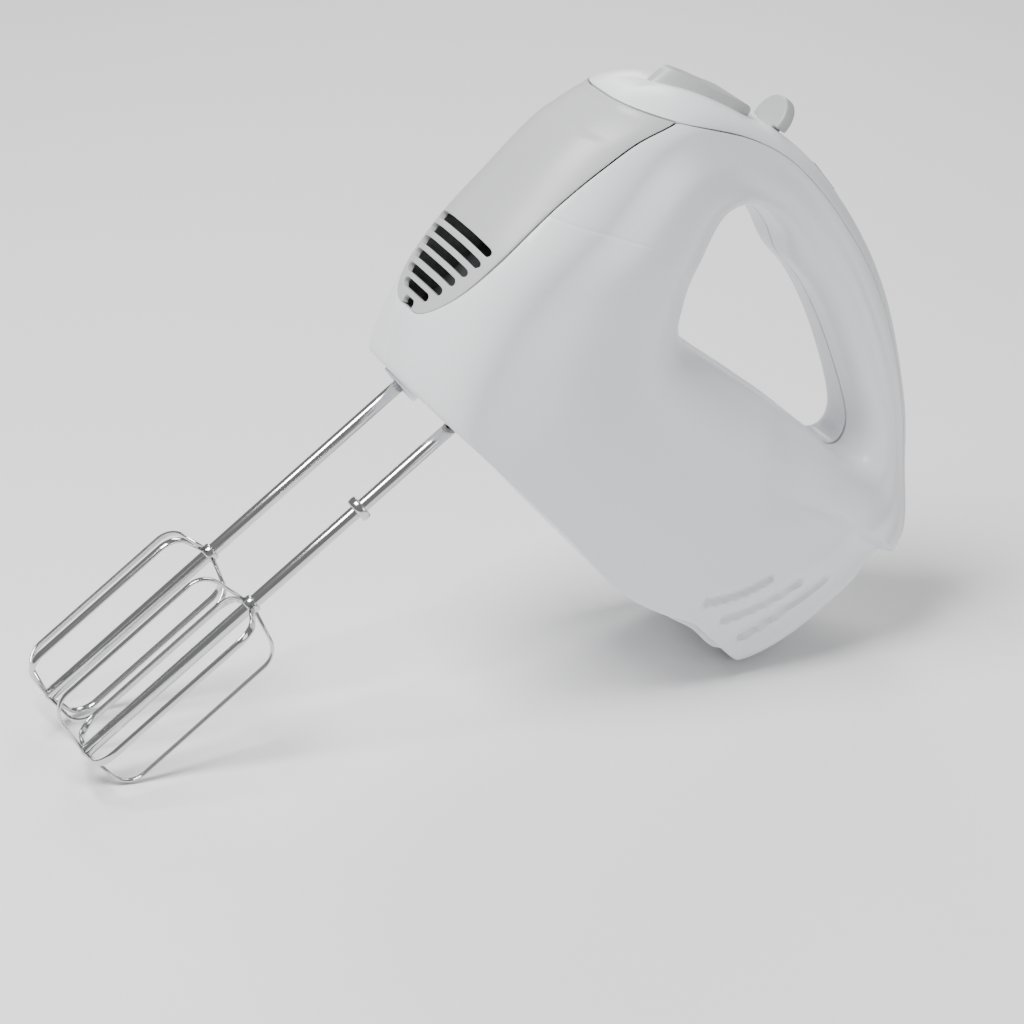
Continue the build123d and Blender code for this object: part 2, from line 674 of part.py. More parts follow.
def field_coils():
    """Two saddle-shaped windings, each with two sides in the core and two end turns."""
    coils = []
    for centre in (0, 180):
        parts = []
        for sign in (-1, 1):
            parts.append(ring_sector(STATOR_BORE + 0.3, COIL_OUTER, STATOR_FRONT - COIL_END,
                                     STATOR_BACK + COIL_END, centre + sign * 52, 12))
        for x0 in (STATOR_FRONT - COIL_END, STATOR_BACK + 0.2):
            parts.append(ring_sector(STATOR_BORE + 0.3, COIL_OUTER, x0, x0 + COIL_END - 0.2,
                                     centre, 42))
        coils.append(parts[0].fuse(*parts[1:]))
    return Compound(coils)


def armature_core():
    core = bar(ROTOR_R, (STATOR_FRONT, 0, AXIS_Z), (STATOR_BACK, 0, AXIS_Z))
    core = core - bar(SHAFT_R, (0, 0, AXIS_Z), (100, 0, AXIS_Z))
    for slot in range(ROTOR_SLOTS):
        a = point_round(ROTOR_R - 2.6, slot * 360 / ROTOR_SLOTS, 0)
        core = core - bar(1.7, (0, a.Y, a.Z), (100, a.Y, a.Z))
    return core


def armature_windings():
    return Compound([
        tube(12, SHAFT_R, (x0, 0, AXIS_Z), (x0 + 4.5, 0, AXIS_Z))
        for x0 in (STATOR_FRONT - 4.5, STATOR_BACK)
    ])


def commutator():
    body = tube(COMMUTATOR_R, SHAFT_R, (COMMUTATOR_X, 0, AXIS_Z), (COMMUTATOR_X + 10, 0, AXIS_Z))
    for slot in range(ROTOR_SLOTS):
        a = point_round(COMMUTATOR_R, (slot + 0.5) * 360 / ROTOR_SLOTS, 0)
        body = body - bar(0.4, (COMMUTATOR_X - 5, a.Y, a.Z), (COMMUTATOR_X + 8, a.Y, a.Z))
    return body


def cooling_fan():
    """Back plate, hub and blades."""
    plate = bar(FAN_R, (FAN_X + 7, 0, AXIS_Z), (FAN_X + 8.5, 0, AXIS_Z))
    hub = bar(6, (FAN_X, 0, AXIS_Z), (FAN_X + 7, 0, AXIS_Z))
    fan = plate.fuse(hub)
    for blade in range(FAN_BLADES):
        vane = block(FAN_X, FAN_X + 7, -0.7, 0.7, AXIS_Z + 5.5, AXIS_Z + FAN_R - 0.5)
        axis = Axis((0, 0, AXIS_Z), (1, 0, 0))
        fan = fan.fuse(vane.rotate(axis, blade * 360 / FAN_BLADES))
    return fan - bar(SHAFT_R, (0, 0, AXIS_Z), (100, 0, AXIS_Z))


def rear_bracket():
    """Plate behind the motor, with the rear bearing's seat and two arms for the brushes."""
    x0, half = BRACKET_X, BRACKET_HALF
    plate = block(x0, x0 + 4, -half, half, AXIS_Z - 15, AXIS_Z + 15)
    seat = bar(REAR_BEARING_R + 2, (x0, 0, AXIS_Z), (x0 + 6, 0, AXIS_Z))
    plate = plate.fuse(seat)
    for y in (-half, BRUSH_START + 2):
        arm_end = y + half - BRUSH_START - 2
        arm = block(BRUSH_X + BRUSH_BOX, x0, y, arm_end, AXIS_Z - BRUSH_BOX, AXIS_Z + BRUSH_BOX)
        plate = plate.fuse(arm)
    return plate - bar(REAR_BEARING_R, (0, 0, AXIS_Z), (120, 0, AXIS_Z))


def rear_bearing():
    x0 = BRACKET_X
    return tube(REAR_BEARING_R, SHAFT_R + TOUCH, (x0 + 0.5, 0, AXIS_Z), (x0 + 5.5, 0, AXIS_Z))


def brush_holder(sign):
    size, hole = BRUSH_BOX, BRUSH_SIZE / 2 + TOUCH
    y0, y1 = BRUSH_START + 1.5, BRUSH_START + 14
    holder = block(BRUSH_X - size, BRUSH_X + size, y0, y1, AXIS_Z - size, AXIS_Z + size)
    holder = holder - block(BRUSH_X - hole, BRUSH_X + hole, 0, y1 - 1.2, AXIS_Z - hole,
                            AXIS_Z + hole)
    return holder if sign > 0 else mirrored(holder)


def brush(sign):
    half = BRUSH_SIZE / 2
    body = block(BRUSH_X - half, BRUSH_X + half, BRUSH_START, BRUSH_START + 10,
                 AXIS_Z - half, AXIS_Z + half)
    return body if sign > 0 else mirrored(body)


# ---------------------------------------------------------------- switches and buttons
def eject_button():
    """Wedge-shaped thumb button, high in front and low behind."""
    outline = [
        (EJECT_FRONT, EJECT_FLOOR), (EJECT_FRONT + 0.6, 129.5), (-34.6, 131.8), (-31.5, 133.6),
        (-27, 135.9), (-20, 139.2), (-12, 143.2), (-8.5, 144.0), (EJECT_REAR, 142.5),
        (EJECT_REAR, EJECT_FLOOR),
    ]
    wedge = side_prism([side(*p) for p in outline], smooth=[(1, 8)])
    return wedge & button_plan(0, 80, 200)


def eject_yoke():
    """Post under the button and the bar that presses on both ejector pins."""
    front, top = side(-22, EJECT_FLOOR)
    half = SPINDLE_PITCH / 2 + 4
    post = block(front, front + 10, -4, 4, YOKE_TOP, top)
    cross = block(front, 3.6, -half, half, YOKE_TOP - 4, YOKE_TOP)
    return post.fuse(cross)


def coil_spring(radius, wire, base, height, turns):
    """Compression spring standing on base."""
    helix = Edge.make_helix((height - wire * 2.2) / turns, height - wire * 2.2, radius)
    section = Wire.make_circle(wire, Plane(origin=helix.position_at(0),
                                           z_dir=helix.tangent_at(0)))
    spring = Solid.sweep(section, path=helix, is_frenet=True)
    return spring.moved(Location(Vector(*base) + Vector(0, 0, wire * 1.1)))


def eject_spring():
    base = UPPER_PLATE + PLATE
    return coil_spring(3.4, 0.5, (-13.5, 0, base), YOKE_TOP - 4 - base, 5)


def speed_lever():
    """Rounded paddle above the cover, with its stem and the slider plate below."""
    thick = LEVER_HALF_THICK
    paddle = lever_block(-thick, thick, LEVER_HALF, LEVER_RISE, LEVER_HEIGHT)
    plane = lever_frame()
    round_r = LEVER_HALF
    centre = plane.from_local_coords(Vector(-20, 0, LEVER_HEIGHT - round_r))
    far = plane.from_local_coords(Vector(20, 0, LEVER_HEIGHT - round_r))
    dome = bar(round_r, centre, far)
    low = lever_block(-20, 20, LEVER_HALF, -20, LEVER_HEIGHT - round_r)
    paddle = paddle & dome.fuse(low)
    stem = lever_block(-thick, thick, LEVER_STEM_HALF, -SLIDER_DROP, LEVER_RISE)
    plate = lever_block(-8, 6, LEVER_STEM_HALF + 3, -SLIDER_DROP - 1.6, -SLIDER_DROP)
    return paddle.fuse(stem, plate)


def speed_switch():
    """Switch body under the slider plate, inside the handle."""
    return block(0, 27, -9, 9, 131.5, 138.6).moved(follow(LEVER_X, LEVER_Z))


def turbo_place():
    return follow((TURBO_FRONT + TURBO_REAR) / 2, 148)


def turbo_button():
    """Flat button behind the lever, with a flange that keeps it under the cover."""
    outline = [
        (TURBO_FRONT, 146.5), (TURBO_FRONT, 152.4), (TURBO_REAR, 152.9), (TURBO_REAR, 146.5),
    ]
    key = side_prism(outline, -TURBO_HALF, TURBO_HALF)
    flange = block(TURBO_FRONT - 1, TURBO_REAR + 1.6, -TURBO_HALF - 1.6, TURBO_HALF + 1.6,
                   144.9, 146.5)
    plunger = bar(1.6, (34, 0, 143.7), (34, 0, 144.9))
    return key.fuse(flange, plunger).moved(turbo_place())


def turbo_switch():
    return block(29, 39, -4, 4, 134, 141.6).moved(turbo_place())


def turbo_spring():
    return coil_spring(2.6, 0.3, (34, 0, 141.6), 3.2, 2).moved(turbo_place())


def circuit_board():
    return block(46, 88, -9, 9, 133.5, 135.1).moved(follow(67, 134))


def suppressor_capacitor():
    body = block(108, 126, -5, 5, 46, 58).fuse(block(112, 122, -7, 7, 48, 56))
    return body.moved(follow(117, 52))


def terminal_block():
    body = block(128, 144, -8, 8, 56, 66)
    for y in (-4, 4):
        body = body - bar(1.8, (120, y, 61), (150, y, 61))
    return body.moved(follow(136, 61))


# ------------------------------------------------------------------------- the beaters
def beater_stem(y):
    """Straight stem, full length, with a pointed foot and a groove for the catch."""
    stem = bar(STEM_R, (0, y, BEATER_BOTTOM + 1), (0, y, STEM_TOP))
    foot = Solid.make_cone(STEM_R * 0.4, STEM_R, 1, Plane(origin=(0, y, BEATER_BOTTOM)))
    groove_ring = tube(STEM_R + 1, STEM_R - 0.5, (0, y, STEM_TOP - 6), (0, y, STEM_TOP - 4))
    return stem.fuse(foot) - groove_ring


def beater_blades(y, phase):
    """Four flat wire arms round the stem, each a half loop."""
    path = FilletPolyline(
        (0, 0, CAGE_TOP), (CAGE_R, 0, CAGE_TOP - BLADE_RISE - 1.5),
        (CAGE_R, 0, BEATER_BOTTOM + BLADE_RISE), (0, 0, BEATER_BOTTOM + 1.2),
        radius=BLADE_CORNER,
    )
    plane = Plane(origin=path.position_at(0), x_dir=(0, 1, 0), z_dir=path.tangent_at(0))
    section = Wire.make_rect(BLADE_WIDTH, BLADE_THICK, plane)
    arm = Solid.sweep(section, path=Wire(path.edges())) - bar(
        STEM_R, (0, 0, BEATER_BOTTOM - 5), (0, 0, 0)
    )
    arms = []
    for quarter in range(4):
        turned = arm.rotate(Axis.Z, phase + 90 * quarter)
        arms.append(turned.moved(Location((0, y, 0))))
    return Compound(arms)


def beater_collar(y):
    """Ring on the left stem, which keeps that beater out of the right-hand socket."""
    return tube(4.4, STEM_R, (0, y, COLLAR_Z - 1.6), (0, y, COLLAR_Z + 1.6))


def build():
    """Every piece by its name, in the drafting frame."""
    y = SPINDLE_PITCH / 2
    left, right, top_cover, front_cover = housing()
    return {
        "left_shell": left,
        "right_shell": right,
        "top_cover": top_cover,
        "front_cover": front_cover,
        "housing_screws": housing_screws(),
        "socket_ring": socket_ring(),
        "cord_gland": cord_gland(),
        "gearbox_frame": gearbox_frame(),
        "spindle_bushes": spindle_bushes(),
        "worm_bushes": worm_bushes(),
        "stator_core": stator_core(),
        "field_coils": field_coils(),
        "rear_bracket": rear_bracket(),
        "rear_bearing": rear_bearing(),
        "left_brush_holder": brush_holder(-1),
        "right_brush_holder": brush_holder(1),
        "left_brush": brush(-1),
        "right_brush": brush(1),
        "speed_switch": speed_switch(),
        "turbo_switch": turbo_switch(),
        "circuit_board": circuit_board(),
        "suppressor_capacitor": suppressor_capacitor(),
        "terminal_block": terminal_block(),
        "eject_spring": eject_spring(),
        "turbo_spring": turbo_spring(),
        "motor_shaft": motor_shaft(),
        "worm": worm(),
        "armature_core": armature_core(),
        "armature_windings": armature_windings(),
        "commutator": commutator(),
        "cooling_fan": cooling_fan(),
        "left_spindle": spindle(-y),
        "left_worm_wheel": worm_wheel(-y),
        "right_spindle": spindle(y),
        "right_worm_wheel": worm_wheel(y),
        "left_ejector_pin": ejector_pin(-y),
        "right_ejector_pin": ejector_pin(y),
        "left_beater_stem": beater_stem(-y),
        "left_beater_blades": beater_blades(-y, LEFT_PHASE),
        "left_beater_collar": beater_collar(-y),
        "right_beater_stem": beater_stem(y),
        "right_beater_blades": beater_blades(y, RIGHT_PHASE),
        "eject_button": eject_button(),
        "eject_yoke": eject_yoke(),
        "speed_lever": speed_lever(),
        "turbo_button": turbo_button(),
    }


def main():
    os.makedirs("parts", exist_ok=True)
    with SkipClean():
        pieces = build()
    tipped = {
        name: shape.moved(Location((0, 0, 0), (0, REST_TILT, 0)))
        for name, shape in pieces.items()
    }
    boxes = [shape.bounding_box() for shape in tipped.values()]
    low = [min(tuple(box.min)[i] for box in boxes) for i in range(3)]
    high = [max(tuple(box.max)[i] for box in boxes) for i in range(3)]
    centre = Location((-(low[0] + high[0]) / 2, -(low[1] + high[1]) / 2, -low[2]))
    for name, shape in tipped.items():
        export_step(shape.moved(centre), f"parts/{name}.step")
    print("drafting origin moved by", centre.position)
    print("size", [round(b - a, 3) for a, b in zip(low, high)])


if __name__ == "__main__":
    main()
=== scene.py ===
"""The looks of a corded hand mixer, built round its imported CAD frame.

Shapes are drawn in the mixer's own drafting frame, in millimetres: X from nose to tail, Y from
left to right, Z up and the beaters along -Z.  The frame's joints say where that frame stands."""
import json

import bpy
import bmesh
import numpy as np
from mathutils import Matrix, Vector


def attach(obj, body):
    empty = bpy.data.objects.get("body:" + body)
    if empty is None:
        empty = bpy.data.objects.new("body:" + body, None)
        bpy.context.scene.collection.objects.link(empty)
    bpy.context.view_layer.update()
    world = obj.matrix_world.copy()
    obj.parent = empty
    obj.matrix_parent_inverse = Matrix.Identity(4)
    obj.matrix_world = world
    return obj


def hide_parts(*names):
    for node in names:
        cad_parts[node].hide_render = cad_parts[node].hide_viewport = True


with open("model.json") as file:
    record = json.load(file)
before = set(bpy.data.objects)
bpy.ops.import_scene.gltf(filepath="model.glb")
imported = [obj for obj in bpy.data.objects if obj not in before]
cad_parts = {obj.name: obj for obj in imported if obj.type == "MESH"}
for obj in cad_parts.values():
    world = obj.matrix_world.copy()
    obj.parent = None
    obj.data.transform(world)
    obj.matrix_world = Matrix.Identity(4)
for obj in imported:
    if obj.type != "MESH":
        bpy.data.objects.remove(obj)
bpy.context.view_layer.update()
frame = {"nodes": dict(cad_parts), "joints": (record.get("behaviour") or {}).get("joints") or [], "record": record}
nodes = frame["nodes"]
joints = {joint["name"]: joint for joint in frame["joints"]}

# ------------------------------------------------------------------ the drafting frame
MM = 0.001
BACK = np.array(joints["rotor_spin"]["axis"], float)
RIGHT = np.array([0.0, 1.0, 0.0])
UP = np.array(joints["left_spindle_spin"]["axis"], float)
ORIGIN = (np.array(joints["left_spindle_spin"]["pos_m"], float)
          + np.array(joints["right_spindle_spin"]["pos_m"], float)) / 2
SPINDLE_Y = abs(joints["left_spindle_spin"]["pos_m"][1] - ORIGIN[1]) / MM

HALF_WIDTH = 39.0
GRIP = 18.0
WALL = 2.0
SEAM = 0.24                 # half the gap along a seam
EDGE = 0.45                 # rounding of an edge


def turned(vectors):
    """Directions in the drafting frame, turned to the row's axes."""
    v = np.asarray(vectors, float)
    return v[..., 0:1] * BACK + v[..., 1:2] * RIGHT + v[..., 2:3] * UP


def placed(points):
    """Points in the drafting frame, in millimetres, as places in the row's frame, in metres."""
    return ORIGIN + turned(points) * MM


def smooth_step(low, high, value):
    """0 below low, 1 above high, and a smooth S between."""
    t = np.clip((value - low) / (high - low), 0, 1)
    return t * t * (3 - 2 * t)


# ----------------------------------------------------------------------------- meshes
def make_piece(name, points, faces, body, slot, replaces=()):
    """A mesh from drafting points and faces, riding a body and standing for CAD nodes."""
    mesh = bpy.data.meshes.new(name)
    mesh.from_pydata(placed(points).tolist(), [], faces)
    mesh.validate()
    piece = bpy.data.objects.new(name, mesh)
    bpy.context.scene.collection.objects.link(piece)
    return dressed(piece, body, slot, replaces)


def dressed(piece, body, slot, replaces):
    """Gives a piece its finish, its body and the CAD nodes it stands for."""
    piece.data.polygons.foreach_set("use_smooth", [True] * len(piece.data.polygons))
    piece.data.materials.clear()
    piece.data.materials.append(FINISHES[slot])
    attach(piece, body)
    if replaces:
        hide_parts(*replaces)
    return piece


def grid_faces(rows, columns, wrap_columns=False):
    """Quads of a rows x columns grid, as an array of four indices each."""
    index = np.arange(rows * columns).reshape(rows, columns)
    if wrap_columns:
        index = np.hstack([index, index[:, :1]])
    return np.stack([index[:-1, :-1], index[1:, :-1], index[1:, 1:], index[:-1, 1:]],
                    -1).reshape(-1, 4)


def outwards(piece):
    """Turns all faces of a closed piece outwards."""
    mesh = bmesh.new()
    mesh.from_mesh(piece.data)
    bmesh.ops.remove_doubles(mesh, verts=mesh.verts, dist=1e-6)
    bmesh.ops.recalc_face_normals(mesh, faces=mesh.faces)
    mesh.to_mesh(piece.data)
    mesh.free()
    return piece


def round_edges(piece, width, segments=3, angle=0.7):
    bevel = piece.modifiers.new("rounded_edges", "BEVEL")
    bevel.width = width * MM
    bevel.segments = segments
    bevel.limit_method = "ANGLE"
    bevel.angle_limit = angle
    return piece


def wall(piece, thickness):
    """Gives a skin its thickness, inwards."""
    solid = piece.modifiers.new("wall", "SOLIDIFY")
    solid.thickness = thickness * MM
    solid.offset = -1
    solid.use_rim = True
    return piece


def lathe(profile, centre=(0, 0), turns=48):
    """Revolves (radius, z) points about the upright axis through centre.

    Each point goes round as (x + r cos a, y + r sin a, z); an end of no radius is one pole."""
    profile = np.asarray(profile, float)
    angle = np.linspace(0, 2 * np.pi, turns, endpoint=False)
    radius, z = profile[:, :1], profile[:, 1:]
    points = np.stack([centre[0] + radius * np.cos(angle), centre[1] + radius * np.sin(angle),
                       z + 0 * angle], -1)
    return points.reshape(-1, 3), grid_faces(len(profile), turns, wrap_columns=True).tolist()


def softened(node, name, slot, body, width, segments=3, angle=0.6):
    """A copy of a CAD node with its faces merged and its edges rounded."""
    piece = bpy.data.objects.new(name, nodes[node].data.copy())
    bpy.context.scene.collection.objects.link(piece)
    mesh = bmesh.new()
    mesh.from_mesh(piece.data)
    bmesh.ops.remove_doubles(mesh, verts=mesh.verts, dist=2e-5)
    bmesh.ops.dissolve_limit(mesh, angle_limit=0.02, verts=mesh.verts, edges=mesh.edges)
    bmesh.ops.recalc_face_normals(mesh, faces=mesh.faces)
    mesh.to_mesh(piece.data)
    mesh.free()
    dressed(piece, body, slot, [node])
    round_edges(piece, width, segments, angle)
    return piece


# --------------------------------------------------------------------------- finishes
def node_tree(name):
    material = bpy.data.materials.new(name)
    material.use_nodes = True
    tree = material.node_tree
    return material, tree, tree.nodes["Principled BSDF"]


def finish(name, colour, roughness, metallic=0.0, grain=900.0, bump=0.04, mottle=0.04,
           streak=None, bands=None):
    """A plastic or metal finish: mottled colour, uneven gloss and a fine raised grain.

    streak stretches the grain along X, Y or Z; bands adds lines this far apart, in millimetres,
    across the drafting axis it names."""
    material, tree, shader = node_tree(name)
    new, link = tree.nodes.new, tree.links.new
    place = new("ShaderNodeTexCoord")
    turn = new("ShaderNodeMapping")
    link(place.outputs["Object"], turn.inputs["Vector"])
    tilt = float(np.arctan2(-BACK[2], BACK[0]))
    turn.vector_type = "POINT"
    turn.inputs["Rotation"].default_value = (0, -tilt, 0)
    fine = new("ShaderNodeTexNoise")
    fine.inputs["Scale"].default_value = grain
    fine.inputs["Detail"].default_value = 3
    if streak:
        stretch = new("ShaderNodeMapping")
        stretch.inputs["Scale"].default_value = streak
        link(turn.outputs["Vector"], stretch.inputs["Vector"])
        link(stretch.outputs["Vector"], fine.inputs["Vector"])
    else:
        link(turn.outputs["Vector"], fine.inputs["Vector"])
    broad = new("ShaderNodeTexNoise")
    broad.inputs["Scale"].default_value = 22
    broad.inputs["Detail"].default_value = 4
    link(turn.outputs["Vector"], broad.inputs["Vector"])
    tint = new("ShaderNodeMix")
    tint.data_type = "RGBA"
    tint.inputs["A"].default_value = (*[c * (1 - mottle) for c in colour], 1)
    tint.inputs["B"].default_value = (*[min(c * (1 + mottle), 1) for c in colour], 1)
    link(broad.outputs["Fac"], tint.inputs["Factor"])
    gloss = new("ShaderNodeMapRange")
    gloss.inputs["To Min"].default_value = roughness * 0.8
    gloss.inputs["To Max"].default_value = min(roughness * 1.25, 1)
    link(fine.outputs["Fac"], gloss.inputs["Value"])
    relief = new("ShaderNodeBump")
    relief.inputs["Strength"].default_value = 1.0
    relief.inputs["Distance"].default_value = bump * MM
    height = fine.outputs["Fac"]
    colour_out = tint.outputs["Result"]
    if bands:
        axis, spacing, depth, darker = bands
        wave = new("ShaderNodeTexWave")
        wave.bands_direction = axis
        wave.inputs["Scale"].default_value = 0.314 / (spacing * MM)
        wave.inputs["Distortion"].default_value = 0.0
        link(turn.outputs["Vector"], wave.inputs["Vector"])
        rise = new("ShaderNodeMath")
        rise.operation = "MULTIPLY_ADD"
        rise.inputs[1].default_value = depth / bump
        link(wave.outputs["Fac"], rise.inputs[0])
        link(fine.outputs["Fac"], rise.inputs[2])
        height = rise.outputs["Value"]
        shade = new("ShaderNodeMix")
        shade.data_type = "RGBA"
        shade.blend_type = "MULTIPLY"
        shade.inputs["Factor"].default_value = 1.0
        fade = new("ShaderNodeMapRange")
        fade.inputs["To Min"].default_value = 1 - darker
        link(wave.outputs["Fac"], fade.inputs["Value"])
        link(colour_out, shade.inputs["A"])
        link(fade.outputs["Result"], shade.inputs["B"])
        colour_out = shade.outputs["Result"]
    link(height, relief.inputs["Height"])
    link(colour_out, shader.inputs["Base Color"])
    link(gloss.outputs["Result"], shader.inputs["Roughness"])
    link(relief.outputs["Normal"], shader.inputs["Normal"])
    shader.inputs["Metallic"].default_value = metallic
    return material


WHITE = (0.83, 0.84, 0.87)
FINISHES = {
    "white_plastic": finish("white_plastic", WHITE, 0.34, grain=1400, bump=0.006, mottle=0.012),
    "pale_grey_plastic": finish("pale_grey_plastic", (0.5, 0.51, 0.505), 0.38, grain=1800,
                                bump=0.012, mottle=0.02),
    "grey_plastic": finish("grey_plastic", (0.42, 0.435, 0.43), 0.4, grain=1800, bump=0.012,
                           mottle=0.025),
    "dark_plastic": finish("dark_plastic", (0.022, 0.022, 0.024), 0.5, grain=1200, bump=0.02),
    "natural_plastic": finish("natural_plastic", (0.09, 0.09, 0.095), 0.5, grain=900, bump=0.02),
    "chrome": finish("chrome", (0.62, 0.62, 0.63), 0.13, metallic=1.0, grain=2500, bump=0.002,
                     mottle=0.05, streak=(1, 1, 0.06)),
    "steel": finish("steel", (0.52, 0.52, 0.53), 0.3, metallic=1.0, grain=1500, bump=0.006,
                    streak=(0.08, 1, 1)),
    "screw_steel": finish("screw_steel", (0.5, 0.5, 0.5), 0.35, metallic=1.0, grain=2500),
    "laminated_steel": finish("laminated_steel", (0.16, 0.16, 0.17), 0.45, metallic=0.8,
                              bands=("X", 0.6, 0.08, 0.5)),
    "bronze": finish("bronze", (0.42, 0.24, 0.1), 0.42, metallic=1.0, grain=3000, bump=0.02),
    "copper": finish("copper", (0.55, 0.2, 0.08), 0.3, metallic=0.9,
                     bands=("Y", 0.5, 0.12, 0.55)),
    "carbon": finish("carbon", (0.03, 0.03, 0.032), 0.6, grain=4000, bump=0.03),
    "circuit_board": finish("circuit_board", (0.02, 0.13, 0.05), 0.35, grain=600,
                            bands=("Y", 2.5, 0.03, 0.35)),
    "capacitor": finish("capacitor", (0.5, 0.35, 0.03), 0.35, grain=700, bump=0.05),
}

# ------------------------------------------------------- the housing's own surface
# Rows: hand-hole point (x, z), outline point (x, z), half widths beside the hole, half way and
# beside the outline, then the rounding's reach along and across at the hole and the outline.
W, G = HALF_WIDTH, GRIP
SECTIONS = np.array([
    (11, 100, -45.8, 62, W - 6, W - 4, W - 7, 9, 9, 26, 28),
    (7.5, 110, -48.6, 83, W - 8, W - 6, W - 9, 9, 9, 24, 26),
    (9, 118, -48, 101, W - 11, W - 9, W - 11, 9, 9, 20, 24),
    (15, 124, -41, 119.5, W - 15, W - 13, W - 13, 9, 9, 16, 20),
    (24, 127, -22, 135.5, G + 3, G + 5, G + 4, 9, 9, 12, 16),
    (36, 127.7, 8, 148, G + 1, G + 2, G + 1, 9, 9, 10, 14),
    (47, 125.3, 32, 152.3, G, G + 0.5, G, 9, 9, 10, 14),
    (60, 126, 58, 151.8, G, G + 0.5, G, 9, 9, 10, 14),
    (78, 124, 85, 146.8, G, G + 0.5, G, 9, 9, 10, 14),
    (95, 120, 109, 137.6, G, G + 0.5, G, 8, 9, 8, 14),
    (112, 115, 130, 127, G + 1, G + 1, G + 0.5, 8, 9, 8, 14),
    (123.5, 109, 146.5, 116, G + 2, G + 2, G + 1, 9, 9, 10, 14),
    (125.5, 101.5, 159.5, 105.5, G + 4, G + 5, G + 2, 10, 10, 11, 15),
    (117, 97.5, 164.5, 96, G + 7, G + 10, G + 4, 12, 12, 11, 16),
    (106, 96, 163.8, 80, W - 11, W - 6, W - 12, 15, 15, 12, 18),
    (95, 93.7, 161.5, 56, W - 8, W - 3, W - 9, 18, 18, 12, 18),
    (85, 91, 156, 29, W - 6, W - 1, W - 8, 21, 21, 12, 18),
    (76, 88.5, 136, 5, W - 4, W, W - 5, 22, 22, 12, 18),
    (66, 85.5, 105, -5, W - 4, W, W - 3, 22, 22, 10, 14),
    (55, 82.5, 70, -10, W - 4, W, W - 2, 22, 22, 10, 14),
    (45, 79.8, 35, -14, W - 4, W, W - 2, 22, 22, 10, 14),
    (36, 78.3, 5, -17, W - 4, W, W - 3, 20, 20, 14, 18),
    (28, 79.5, -13, -11, W - 4, W - 1, W - 4, 16, 16, 20, 24),
    (22, 83.5, -27, 4, W - 4, W - 2, W - 5, 13, 13, 24, 28),
    (16.5, 90, -36.5, 22, W - 5, W - 3, W - 6, 11, 11, 26, 28),
    (13, 95.5, -42.3, 42, W - 5, W - 3, W - 6, 10, 10, 26, 28),
], float)
COUNT = len(SECTIONS)
TURN_STARTS = (0.0, 0.05, 0.22, 0.66, 0.93, 1.0)   # where a section's five stretches meet

BASE_LINE = np.array([(-60, -5.5), (-24, -3), (6, 0.6), (50, 5), (93, 9.4), (104, 13.6),
                      (117, 19.9), (128, 21.2), (142, 22.9), (175, 26.9)], float)
FRONT_SEAM = np.array([(-33.0, 11), (-34.2, 20), (-35.2, 30), (-36.9, 45), (-38.2, 60),
                       (-38.9, 75), (-38.6, 90), (-36.8, 105), (-32.5, 118.5)], float)
TOP_SEAM = np.array([(-45, 109.5), (-32.5, 118.5), (-20, 127.5), (-8.4, 135), (10, 142.9),
                     (31, 146.2), (48, 146.4), (66, 145.2), (94, 138.4), (109, 132),
                     (130, 121), (146, 110.5), (156, 102), (162.5, 94), (175, 79)], float)
VENT_HEIGHT = 2.9
VENT_HEIGHTS = (45, 40, 35.2, 30.5, 25.6, 21.2, 16.7)
VENT_HALVES = (20.5, 20, 18.2, 16.2, 13.8, 9.8, 3.8)
GROOVES = [((112, 28.5), (117.8, 38.2), (122, 50)), ((123.8, 29.5), (129.6, 42), (133.8, 57.5)),
           ((136.8, 30.5), (141, 47), (143.5, 66))]
GROOVE_WIDTH, GROOVE_DEPTH = 4.4, 2.0
RIDGE = np.array([(88, 66), (101, 73.5), (116, 81), (135, 87), (172, 95)], float)
RIDGE_RISE = 3.8
DISH_DEPTH, BAND_DEPTH = 1.1, 0.7            # round the eject button; along the front's top
TABLE_CORNER, BASE_CORNER = 0.6, 1.6         # softness where the skin meets table and base
LEAF_TIP, LEAF_REAR, LEAF_HALF = -37.0, -6.0, 9.6
LEVER_SLOT = (12.2, 7.6, 5.6)                # middle, half length and half width
TURBO_SLOT = (34, 7.4, 6.4)
SOCKET_HOLE_R = 6.4
GLAND_Z, GLAND_HOLE_R = 60, 7.2
FRONT_COVER_FOOT = 9.5
CORNER_X, CORNER_Z, CORNER_SLOPE = -32.5, 118.5, 0.72    # where both seams meet


def slopes():
    """Slopes of the closed cubic through the rows: neighbours' rise, smoothed by 1-4-1."""
    matrix = 4 * np.eye(COUNT) + np.roll(np.eye(COUNT), 1, 0) + np.roll(np.eye(COUNT), -1, 0)
    return np.linalg.solve(matrix, 3 * (np.roll(SECTIONS, -1, 0) - np.roll(SECTIONS, 1, 0)))


SLOPES = slopes()


def section(u):
    """The section's eleven sizes at place u round the hand hole: a cubic between its rows."""
    i = np.floor(u).astype(int) % COUNT
    j = (i + 1) % COUNT
    t = (u - np.floor(u))[..., None]
    return (SECTIONS[i] * (1 + 2 * t) * (1 - t) ** 2 + SLOPES[i] * t * (1 - t) ** 2
            + SECTIONS[j] * t * t * (3 - 2 * t) + SLOPES[j] * t * t * (t - 1))


def smooth_line(points, x):
    """Height and slope at x of a smooth curve through points, straight beyond its ends."""
    px, pz = points.T
    rise = np.gradient(pz, px)
    i = np.clip(np.searchsorted(px, x) - 1, 0, len(px) - 2)
    h = px[i + 1] - px[i]
    t = np.clip((x - px[i]) / h, 0, 1)
    z = (pz[i] * (1 + 2 * t) * (1 - t) ** 2 + rise[i] * h * t * (1 - t) ** 2
         + pz[i + 1] * t * t * (3 - 2 * t) + rise[i + 1] * h * t * t * (t - 1))
    slope = rise[i] * (1 - t) + rise[i + 1] * t
    beyond = x - np.clip(x, px[0], px[-1])
    return z + beyond * slope, slope


